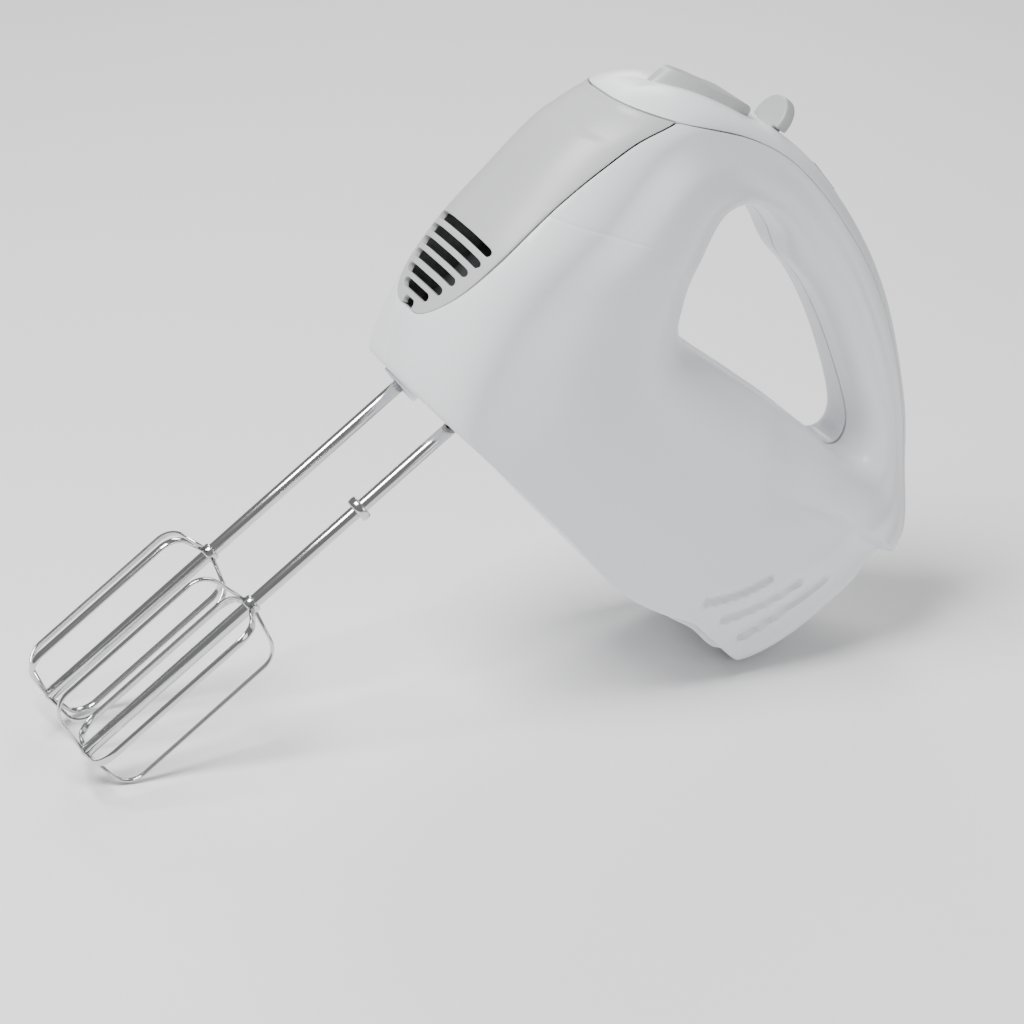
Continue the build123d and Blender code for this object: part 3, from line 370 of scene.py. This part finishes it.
def above_top_seam(x, z):
    """How far a side-view point lies above the top cover's seam."""
    height, slope = smooth_line(TOP_SEAM, x)
    return (z - height) / np.sqrt(1 + slope ** 2)


def ahead_of_front_seam(x, z):
    """How far a side-view point lies ahead of the front cover's seam."""
    place, slope = smooth_line(FRONT_SEAM[:, ::-1], z)
    return (place - x) / np.sqrt(1 + slope ** 2)


def distance_to_path(x, z, points):
    """Distance in the side view to a chain of straight runs, and how far along it, 0 to 1."""
    points = np.asarray(points, float)
    best = np.full(np.shape(x), 1e9)
    along = np.zeros(np.shape(x))
    runs = len(points) - 1
    for k in range(runs):
        a, b = points[k], points[k + 1]
        d = b - a
        t = np.clip(((x - a[0]) * d[0] + (z - a[1]) * d[1]) / (d @ d), 0, 1)
        gap = np.hypot(x - a[0] - t * d[0], z - a[1] - t * d[1])
        nearer = gap < best
        best = np.where(nearer, gap, best)
        along = np.where(nearer, (k + t) / runs, along)
    return best, along


def bent(points, count=12):
    """Points of the parabola through three places."""
    a, b, c = np.asarray(points, float)
    t = np.linspace(0, 1, count)[:, None]
    return a * (1 - t) * (1 - 2 * t) + b * 4 * t * (1 - t) + c * t * (2 * t - 1)


def leaf_gap(x, y):
    """How far outside the eject button's leaf-shaped plan a point is; inside is negative."""
    t = np.clip((x - LEAF_TIP) / (LEAF_REAR - LEAF_TIP), 0, 1)
    breadth = LEAF_HALF * np.sin(np.pi * 0.5 * np.clip(t * 1.18, 0, 1)) ** 0.75
    breadth = breadth * (1 - 0.2 * smooth_step(0.85, 1.0, t))
    beside = (np.abs(y) - breadth) * 0.85
    return np.maximum(beside, np.maximum(LEAF_TIP - x, x - LEAF_REAR))


def housing_point(u, v):
    """The housing's skin at u round the hand hole and v across, as drafting points.

    v runs over the section in five stretches: the hand hole's wall, an elliptic corner, the
    bowed flank, another corner and the rim; 1 is the middle of the rim, and beyond it the
    same section is mirrored.  The base is then flattened, and ridge, grooves and recesses
    are pressed into it."""
    side = np.where(v > 1, 1.0, -1.0)
    v = np.where(v > 1, 2 - v, v)
    hx, hz, ox, oz, wh, wm, wo, ah, bh, ao, bo = np.moveaxis(section(u), -1, 0)
    length = np.hypot(ox - hx, oz - hz)
    t = [np.clip((v - a) / (b - a), 0, 1) for a, b in zip(TURN_STARTS, TURN_STARTS[1:])]
    first, second = t[1] * np.pi / 2, t[3] * np.pi / 2
    s = (ah * (1 - np.cos(first)) + (length - ah - ao) * t[2] + ao * np.sin(second))
    bow = np.where(t[2] < 0.5, wh + (wm - wh) * smooth_step(0, 0.5, t[2]),
                   wm + (wo - wm) * smooth_step(0.5, 1, t[2]))
    y = np.select(
        [v < TURN_STARTS[1], v < TURN_STARTS[2], v < TURN_STARTS[3], v < TURN_STARTS[4]],
        [(wh - bh) * t[0], wh - bh + bh * np.sin(first), bow, wo - bo + bo * np.cos(second)],
        (wo - bo) * (1 - t[4]),
    )
    s = s - 0.5 * (y / wo) ** 2 * smooth_step(0.66, 0.85, v)
    ux, uz = (ox - hx) / length, (oz - hz) / length
    x, z = hx + ux * s, hz + uz * s

    gap, along = distance_to_path(x, z, RIDGE)
    line, _ = smooth_line(RIDGE, x)
    scoop = 0.45 * smooth_step(1, 4, gap) * (1 - smooth_step(4, 20, gap))
    under = 1 - smooth_step(0, 2.6, gap) - scoop
    over = np.where(z > line, 1 - smooth_step(0, 30, gap), under)
    lift = RIDGE_RISE * smooth_step(0.05, 0.9, along) * over * (x > RIDGE[0, 0] - 6)
    y = y + lift * smooth_step(4, 14, y)
    reach = lift * smooth_step(0.6, 0.85, v) * 0.45
    pressed = 0.0
    for path in GROOVES:
        gap, _ = distance_to_path(x, z, bent(path))
        pressed = pressed + GROOVE_DEPTH * (1 - smooth_step(0.5 * GROOVE_WIDTH - 1.3,
                                                            0.5 * GROOVE_WIDTH, gap))
    y = y - pressed * smooth_step(8, 16, y)
    top = above_top_seam(x, z)
    dish = DISH_DEPTH * (1 - smooth_step(0.5, 7, leaf_gap(x, y))) * smooth_step(0, 5, top)
    ahead = ahead_of_front_seam(x, z)
    band = BAND_DEPTH * smooth_step(-13.5, -10.5, top) * smooth_step(2, 8, ahead)
    band = band * (1 - smooth_step(-2.5, 0, top))
    s_move = reach - dish - band
    x, z = x + ux * s_move, z + uz * s_move

    base, _ = smooth_line(BASE_LINE, x)
    z = base + 0.5 * (z - base + np.sqrt((z - base) ** 2 + BASE_CORNER ** 2))
    return np.stack([x, side * y, z], -1)


def on_the_table(points):
    """Lifts what lies below the table onto it, with a soft corner."""
    height = placed(points)[..., 2] / MM
    lift = 0.5 * (np.sqrt(height ** 2 + TABLE_CORNER ** 2) - height)
    up = np.array([BACK[2], 0.0, UP[2]])
    return points + lift[..., None] * up


def clipped(point, keep, u, v):
    """Trims the skin point(u, v) to where keep is positive.

    Corners next to the border slide along their grid line onto it, then quads that lie
    outside are dropped, and a quad with one corner outside becomes a triangle."""
    uu, vv = np.meshgrid(u, v, indexing="ij")
    value = keep(point(uu, vv))
    rows, columns = value.shape
    best = np.full(value.shape, 0.5)
    du, dv = np.zeros(value.shape), np.zeros(value.shape)
    for axis in (0, 1):
        for step in (-1, 1):
            other = np.roll(value, -step, axis)
            edge = np.zeros(value.shape, bool)
            cut = [slice(None), slice(None)]
            cut[axis] = -1 if step == 1 else 0
            edge[tuple(cut)] = True
            t = value / np.where(value == other, 1, value - other)
            hit = (value * other < 0) & (t < best) & ~edge
            best = np.where(hit, t, best)
            grid = uu if axis == 0 else vv
            move = (np.roll(grid, -step, axis) - grid) * t
            du = np.where(hit, move if axis == 0 else 0, du)
            dv = np.where(hit, 0 if axis == 0 else move, dv)
    snapped = best < 0.5
    value = np.where(snapped, 0.0, value)
    points = point(uu + du, vv + dv)
    quads = grid_faces(rows, columns)
    inside = (value.ravel() >= 0)[quads]
    total = inside.sum(1)
    faces = quads[total == 4].tolist()
    partly = quads[total == 3]
    kept = inside[total == 3]
    faces += [[int(i) for i, ok in zip(q, k) if ok] for q, k in zip(partly, kept)]
    used = np.unique([i for f in faces for i in f])
    renumber = np.full(rows * columns, -1)
    renumber[used] = np.arange(len(used))
    return points.reshape(-1, 3)[used], [[int(renumber[i]) for i in f] for f in faces]


def even_places(first, last, count, dense=(), factor=3.0):
    """Places u between first and last, evenly spaced along the rim, closer in dense."""
    u = np.linspace(first, last, 4000)
    rows = section(u)
    rim = np.hypot(np.gradient(rows[:, 2]), np.gradient(rows[:, 3]))
    hole = np.hypot(np.gradient(rows[:, 0]), np.gradient(rows[:, 1]))
    weight = 0.75 * rim + 0.5 * hole
    if dense:
        weight = weight * np.where((u > dense[0]) & (u < dense[1]), factor, 1)
    length = np.cumsum(weight)
    return np.interp(np.linspace(length[0], length[-1], count), length, u)


def across(first, last, count, shares=(0.05, 0.2, 0.42, 0.26, 0.07)):
    """Places v, with this share of them in each stretch of the section."""
    edges = np.concatenate([[0], np.cumsum(shares)])
    edges = edges / edges[-1]
    whole = np.linspace(0, 2, 4001)
    half = np.where(whole > 1, 2 - whole, whole)
    order = np.interp(half, TURN_STARTS, edges)
    order = np.where(whole > 1, 2 - order, order)
    low, high = np.interp([first, last], whole, order)
    return np.interp(np.linspace(low, high, count), order, whole)


def front_gap(z):
    """Half the front seam's gap in the side view: less low on the nose, which faces forward."""
    return SEAM * (0.12 + 0.88 * smooth_step(13, 50, z))


def shell_keep(points):
    """How far inside the left shell's borders each point lies: seams, sockets and gland."""
    x, y, z = np.moveaxis(points, -1, 0)
    keep = SEAM - front_gap(z) - ahead_of_front_seam(x, z)
    keep = np.where(z < 8, 20.0, keep)
    keep = np.where(z > CORNER_Z + CORNER_SLOPE * (x - CORNER_X), np.inf, keep)
    keep = np.minimum(keep, -above_top_seam(x, z)) - SEAM
    flat = z - np.interp(x, *BASE_LINE.T)
    socket = np.hypot(x, np.abs(y) - SPINDLE_Y) - SOCKET_HOLE_R
    keep = np.where(flat < 1.2, np.minimum(keep, socket), keep)
    gland = np.hypot(y, z - GLAND_Z) - GLAND_HOLE_R
    return np.where(x > 140, np.minimum(keep, gland), keep)


def front_keep(points):
    """How far inside the front cover's borders and outside its slots each point lies."""
    x, y, z = np.moveaxis(points, -1, 0)
    keep = np.minimum(ahead_of_front_seam(x, z) - front_gap(z), -above_top_seam(x, z) - SEAM)
    keep = np.minimum(keep, z - FRONT_COVER_FOOT)
    for height, half in zip(VENT_HEIGHTS, VENT_HALVES):
        reach = np.clip(y, -half + VENT_HEIGHT / 2, half - VENT_HEIGHT / 2)
        keep = np.minimum(keep, np.hypot(y - reach, z - height) - VENT_HEIGHT / 2)
    return keep


def top_keep(points):
    """How far inside the top cover's seam and outside the controls' holes each point lies."""
    x, y, z = np.moveaxis(points, -1, 0)
    keep = np.minimum(above_top_seam(x, z) - SEAM, leaf_gap(x, y) - 0.4)
    for middle, half_length, half_width in (LEVER_SLOT, TURBO_SLOT):
        hole = np.maximum(np.abs(x - middle) - half_length, np.abs(y) - half_width)
        keep = np.minimum(keep, hole)
    return keep


def housing_skin(name, u, v, keep, slot, node):
    """One plastic moulding: the housing's skin trimmed to keep, thickened and rounded."""
    points, faces = clipped(housing_point, keep, u, v)
    points = on_the_table(points)
    piece = make_piece(name, points, faces, "housing", slot, [node])
    face_out(piece)
    wall(piece, WALL)
    round_edges(piece, EDGE, 2, 0.9)
    return piece


def face_out(piece):
    """Turns an open skin's faces away from the line inside the body that it wraps."""
    mesh = bmesh.new()
    mesh.from_mesh(piece.data)
    bmesh.ops.recalc_face_normals(mesh, faces=mesh.faces)
    mesh.faces.ensure_lookup_table()
    score = 0.0
    stride = max(1, len(mesh.faces) // 400)
    for index in range(0, len(mesh.faces), stride):
        face = mesh.faces[index]
        local = np.array(face.calc_center_median()) - ORIGIN
        p = np.array([local @ BACK, local @ RIGHT, local @ UP]) / MM
        n = np.array(face.normal)
        score += float(np.array([n @ BACK, n @ RIGHT, n @ UP])[1] * np.sign(p[1]))
    if score < 0:
        bmesh.ops.reverse_faces(mesh, faces=mesh.faces)
    mesh.to_mesh(piece.data)
    mesh.free()


def mirrored_skin(name, source, node):
    """The right shell: the left one with y turned over about the middle plane."""
    data = source.data.copy()
    data.name = name
    piece = bpy.data.objects.new(name, data)
    bpy.context.scene.collection.objects.link(piece)
    mesh = bmesh.new()
    mesh.from_mesh(data)
    for corner in mesh.verts:
        corner.co.y = 2 * ORIGIN[1] - corner.co.y
    bmesh.ops.reverse_faces(mesh, faces=mesh.faces)
    mesh.to_mesh(data)
    mesh.free()
    dressed(piece, "housing", "white_plastic", [node])
    wall(piece, WALL)
    round_edges(piece, EDGE, 2, 0.9)
    return piece


def build_housing():
    u = even_places(0, COUNT, 441, dense=(15.3, 18.3))
    left = housing_skin("left_shell_skin", u, across(0.003, 0.9995, 97), shell_keep,
                        "white_plastic", "left_shell")
    mirrored_skin("right_shell_skin", left, "right_shell")
    u = even_places(22.2, COUNT + 4.2, 230)
    housing_skin("front_cover_skin", u, across(0.35, 1.65, 190), front_keep,
                 "pale_grey_plastic", "front_cover")
    u = even_places(COUNT + 1.4, COUNT + 14.8, 330)
    housing_skin("top_cover_skin", u, across(0.3, 1.7, 130), top_keep,
                 "white_plastic", "top_cover")


# ------------------------------------------------------------------------- the beaters
STEM_R = 2.3
BEATER_BOTTOM, CAGE_TOP = -160.0, -87.0
CAGE_R, BLADE_WIDTH, BLADE_THICK, BLADE_CORNER = 19.2, 2.6, 1.3, 8.0


def rounded_path(corners, radius, count):
    """A chain of straight runs with each inner corner rounded to an arc."""
    corners = np.asarray(corners, float)
    points = [corners[:1]]
    for a, b, c in zip(corners, corners[1:], corners[2:]):
        before, after = (a - b) / np.linalg.norm(a - b), (c - b) / np.linalg.norm(c - b)
        half = np.arccos(np.clip(before @ after, -1, 1)) / 2
        reach = radius / np.tan(half)
        middle = b + (before + after) / np.linalg.norm(before + after) * radius / np.sin(half)
        start, end = b + before * reach - middle, b + after * reach - middle
        swing = np.pi - 2 * half
        t = np.linspace(0, 1, count)[:, None]
        arc = (np.sin((1 - t) * swing) * start + np.sin(t * swing) * end) / np.sin(swing)
        points.append(middle + arc)
    points.append(corners[-1:])
    return np.vstack(points)


def blade(angle):
    """One cage wire: an oval carried round a half loop that starts and ends in the stem.

    At each path point the oval lies across the path: half its thickness along the loop's
    outward normal and half its width across the loop's plane."""
    path = rounded_path([(1.2, CAGE_TOP), (CAGE_R, CAGE_TOP - 4.5), (CAGE_R, BEATER_BOTTOM + 3),
                         (1.2, BEATER_BOTTOM + 1.2)], BLADE_CORNER, 14)
    forward = np.gradient(path, axis=0)
    forward /= np.linalg.norm(forward, axis=1)[:, None]
    normal = np.stack([-forward[:, 1], forward[:, 0]], -1)
    turn = np.linspace(0, 2 * np.pi, 16, endpoint=False)
    bulge = np.abs(np.cos(turn)) ** 0.8 * np.sign(np.cos(turn))
    spread = np.abs(np.sin(turn)) ** 0.8 * np.sign(np.sin(turn))
    rz = path[:, None] + normal[:, None] * (bulge * BLADE_THICK / 2)[:, None]
    tangential = np.broadcast_to(spread * BLADE_WIDTH / 2, rz.shape[:2])
    c, s = np.cos(angle), np.sin(angle)
    points = np.stack([rz[..., 0] * c - tangential * s, rz[..., 0] * s + tangential * c,
                       rz[..., 1]], -1)
    faces = grid_faces(len(path), len(turn), wrap_columns=True).tolist()
    last = (len(path) - 1) * len(turn)
    faces.append(list(range(len(turn))))
    faces.append(list(range(last, last + len(turn)))[::-1])
    return points.reshape(-1, 3), faces


def cage_turn(node, y):
    """How the four blades stand: the angle of the corner of the CAD cage furthest out."""
    co = np.empty(len(nodes[node].data.vertices) * 3)
    nodes[node].data.vertices.foreach_get("co", co)
    local = (co.reshape(-1, 3) - ORIGIN) / MM
    x, across_y = local @ BACK, local @ RIGHT - y
    far = np.hypot(x, across_y) > CAGE_R - 1
    return float(np.angle(np.mean(np.exp(4j * np.arctan2(across_y[far], x[far])))) / 4)


def build_beater(side, y):
    body = side + "_beater"
    stem, stem_faces = lathe([
        (0, BEATER_BOTTOM), (0.7, BEATER_BOTTOM + 0.05), (1.3, BEATER_BOTTOM + 0.4),
        (STEM_R, BEATER_BOTTOM + 1.6), (STEM_R, -60), (STEM_R, 34.5), (STEM_R - 0.5, 35),
        (STEM_R - 0.5, 37), (STEM_R, 37.5), (STEM_R, 39.6), (1.5, 40.9), (0, 41)], (0, y))
    outwards(make_piece(side + "_stem_bar", stem, stem_faces, body, "chrome",
                        [side + "_beater_stem"]))
    phase = cage_turn(side + "_beater_blades", y)
    points, faces, total = [], [], 0
    for quarter in range(4):
        p, f = blade(phase + quarter * np.pi / 2)
        points.append(p + (0, y, 0))
        faces += [[i + total for i in face] for face in f]
        total += len(p)
    outwards(make_piece(side + "_cage_wires", np.vstack(points), faces, body, "chrome",
                        [side + "_beater_blades"]))
    sleeve, sleeve_faces = lathe([(STEM_R - 0.2, CAGE_TOP - 1.7), (3.0, CAGE_TOP - 1.6),
                                  (3.2, CAGE_TOP - 1.1), (3.2, CAGE_TOP + 1.1),
                                  (3.0, CAGE_TOP + 1.6), (STEM_R - 0.2, CAGE_TOP + 1.7)],
                                 (0, y))
    make_piece(side + "_upper_ferrule", sleeve, sleeve_faces, body, "chrome")
    if side == "left":
        ring, ring_faces = lathe([(STEM_R - 0.1, -41.6), (3.9, -41.6), (4.3, -41.2),
                                  (4.4, -40.4), (4.4, -39.6), (4.3, -38.8), (3.9, -38.4),
                                  (STEM_R - 0.1, -38.4)], (0, y))
        make_piece("left_stem_collar", ring, ring_faces, body, "chrome",
                   ["left_beater_collar"])


# ------------------------------------------------------------------------- everything
def build_buttons():
    softened("eject_button", "eject_cap", "grey_plastic", "ejector", 1.3, 4, 0.5)
    softened("speed_lever", "speed_paddle", "grey_plastic", "speed_control", 1.2, 4, 0.5)
    softened("turbo_button", "turbo_key", "grey_plastic", "turbo_control", 0.8, 3, 0.6)
    softened("cord_gland", "cord_grommet", "dark_plastic", "housing", 0.5)
    softened("socket_ring", "right_socket_ring", "white_plastic", "housing", 0.5)


def finish_inside():
    """Every CAD node that still shows takes the finish of its own slot."""
    slots = {part["node"]: part["material_slot"] for part in frame["record"]["subparts"]}
    for name, node in nodes.items():
        node.data.materials.clear()
        node.data.materials.append(FINISHES[slots[name]])


def build_stage():
    size = 3.0
    mesh = bpy.data.meshes.new("table")
    mesh.from_pydata([(-size, -size, 0), (size, -size, 0), (size, size, 0), (-size, size, 0)],
                     [], [(0, 1, 2, 3)])
    table = bpy.data.objects.new("table", mesh)
    bpy.context.scene.collection.objects.link(table)
    table.location.z = -0.0003
    mesh.materials.append(finish("table_top", (0.93, 0.93, 0.93), 0.8, mottle=0.004, bump=0.01))
    world = bpy.data.worlds.new("studio")
    world.use_nodes = True
    background = world.node_tree.nodes["Background"]
    background.inputs["Color"].default_value = (1, 1, 1, 1)
    background.inputs["Strength"].default_value = 0.27
    bpy.context.scene.world = world
    lamp("key", (-0.5, -0.1, 1.15), 0.55, 24)
    lamp("fill", (0.7, -1.2, 0.6), 0.7, 4)
    lamp("rim", (0.5, 0.9, 0.9), 0.5, 7)


def lamp(name, place, size, power):
    light = bpy.data.lights.new(name, "AREA")
    light.size = size
    light.energy = power
    lamp_object = bpy.data.objects.new(name, light)
    bpy.context.scene.collection.objects.link(lamp_object)
    lamp_object.location = place
    lamp_object.rotation_euler = (Vector((0, 0, 0.1)) - Vector(place)).to_track_quat(
        "-Z", "Y").to_euler()


def build_camera():
    """Looks at the mixer's left side from ahead of it and a little above."""
    swing, dip, roll = np.radians([35.0, -2.5, 48.3])
    target, distance = np.array([55.6, 0, -1.4]), 1100.0
    back = np.array([-np.sin(swing) * np.cos(dip), -np.cos(swing) * np.cos(dip), np.sin(dip)])
    level = np.array([np.cos(swing), -np.sin(swing), 0])
    right = np.cos(roll) * level + np.sin(roll) * np.cross(back, level)
    up = np.cross(back, right)
    camera = bpy.data.cameras.new("camera")
    camera.sensor_width = 36
    camera.lens = 36 * 2.93 * distance / 1024
    camera.clip_end = 20
    holder = bpy.data.objects.new("camera", camera)
    bpy.context.scene.collection.objects.link(holder)
    spot = placed(target + distance * back)
    axes = np.stack([turned(right), turned(up), turned(back)], 1)
    matrix = np.eye(4)
    matrix[:3, :3] = axes
    matrix[:3, 3] = spot
    holder.matrix_world = Matrix(matrix.tolist())
    bpy.context.scene.camera = holder


build_camera()
build_stage()
finish_inside()
build_housing()
build_beater("left", -SPINDLE_Y)
build_beater("right", SPINDLE_Y)
build_buttons()
